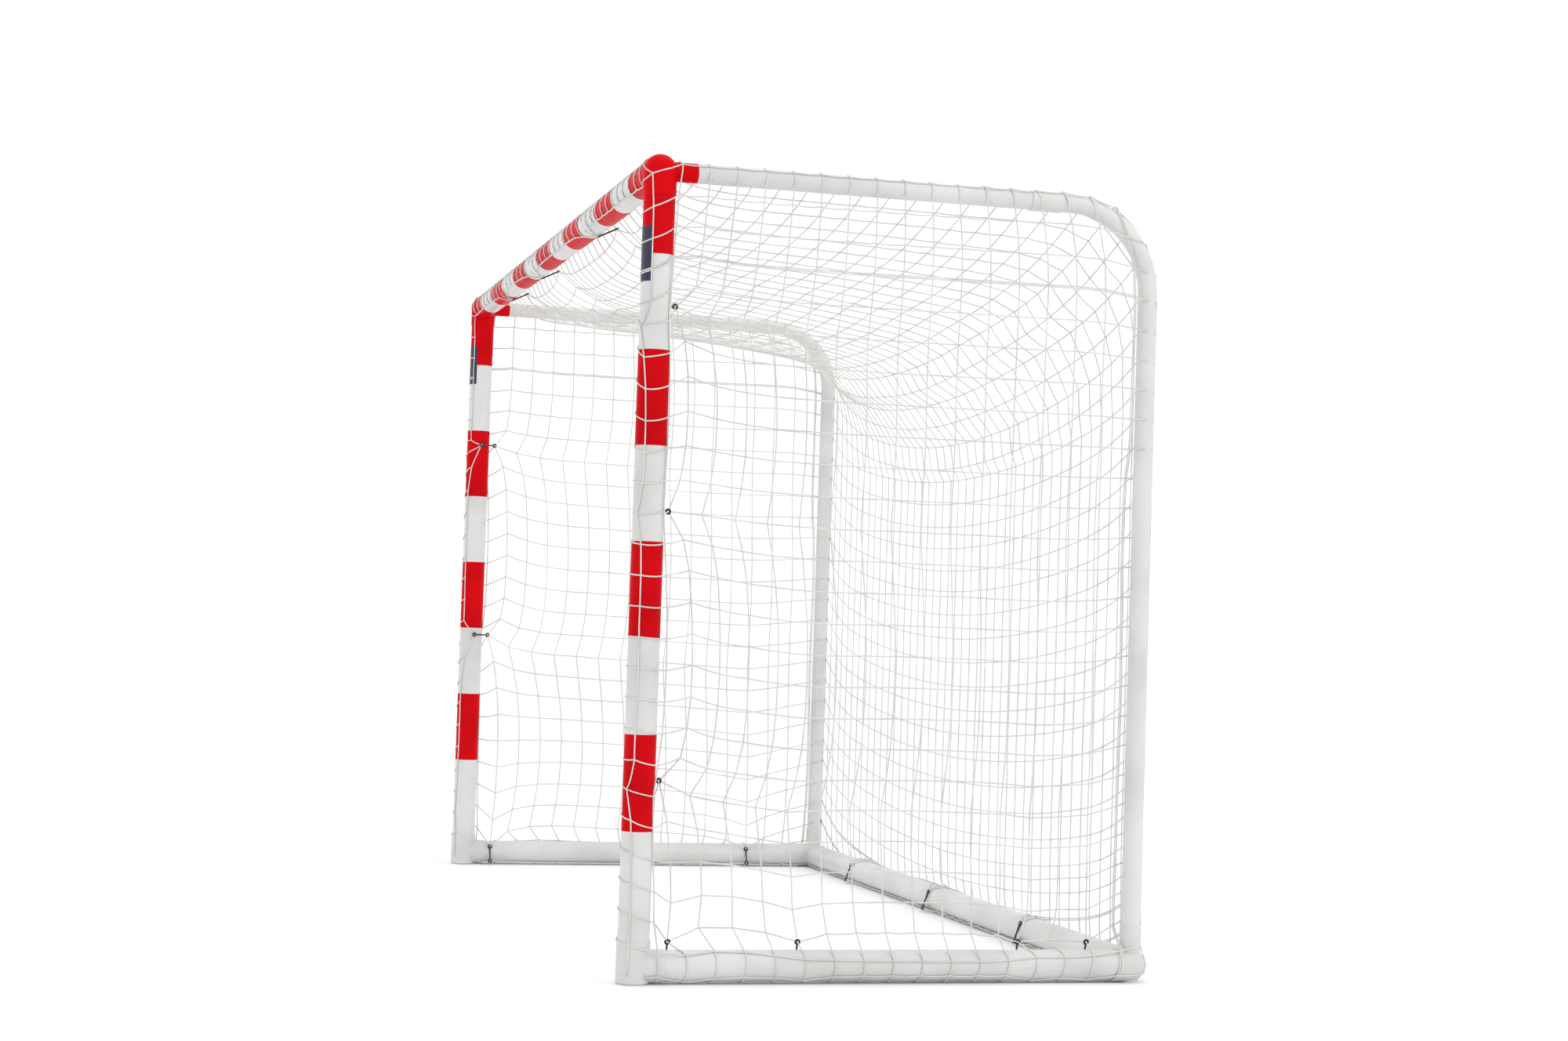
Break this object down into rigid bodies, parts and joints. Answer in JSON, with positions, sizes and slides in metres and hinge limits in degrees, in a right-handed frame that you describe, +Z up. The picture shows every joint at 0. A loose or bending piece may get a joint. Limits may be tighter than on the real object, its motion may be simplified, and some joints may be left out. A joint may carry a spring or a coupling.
{
  "type": "goal with net",
  "caption": "Free-standing goal of round plastic tube with banded posts and crossbar, moulded corner fittings, swept rear bends, a U-shaped base and a wrapped square-mesh net held by hooks.",
  "frame": {"origin": "on the ground, in the middle of the goal's overall box", "axes": "+X across the mouth to the right as seen from in front, +Y from the mouth to the back, +Z up"},
  "size_m": [3.172, 1.4184, 2.086],
  "materials": {
    "white_tube": "smooth extruded plastic, light gloss",
    "white_fitting": "moulded plastic, satin",
    "red_fitting": "moulded plastic, glossy",
    "red_film": "glossy film",
    "label_film": "plain printed film, satin",
    "net_twine": "twisted twine, matte",
    "black_hook": "moulded, satin",
    "inner_sleeve": "extruded plastic"
  },
  "bodies": {
    "root": {"crossbar": "white_tube", "back_base_tube": "white_tube", "crossbar_red_bands": "red_film", "roof_and_back_net": "net_twine", "left_post": "white_tube", "left_base_tube": "white_tube", "left_roof_tube": "white_tube", "left_rear_bend": "white_tube", "left_rear_upright": "white_tube", "left_upright_coupler": "inner_sleeve", "left_top_corner": "red_fitting", "left_front_foot": "white_fitting", "left_rear_foot": "white_fitting", "left_post_red_bands": "red_film", "left_post_label": "label_film", "left_side_net": "net_twine", "left_post_net_hooks": "black_hook", "left_base_net_hooks": "black_hook", "right_post": "white_tube", "right_base_tube": "white_tube", "right_roof_tube": "white_tube", "right_rear_bend": "white_tube", "right_rear_upright": "white_tube", "right_upright_coupler": "inner_sleeve", "right_top_corner": "red_fitting", "right_front_foot": "white_fitting", "right_rear_foot": "white_fitting", "right_post_red_bands": "red_film", "right_post_label": "label_film", "right_side_net": "net_twine", "right_post_net_hooks": "black_hook", "right_base_net_hooks": "black_hook", "crossbar_net_hooks": "black_hook", "back_base_net_hooks": "black_hook"}
  },
  "joints": []
}
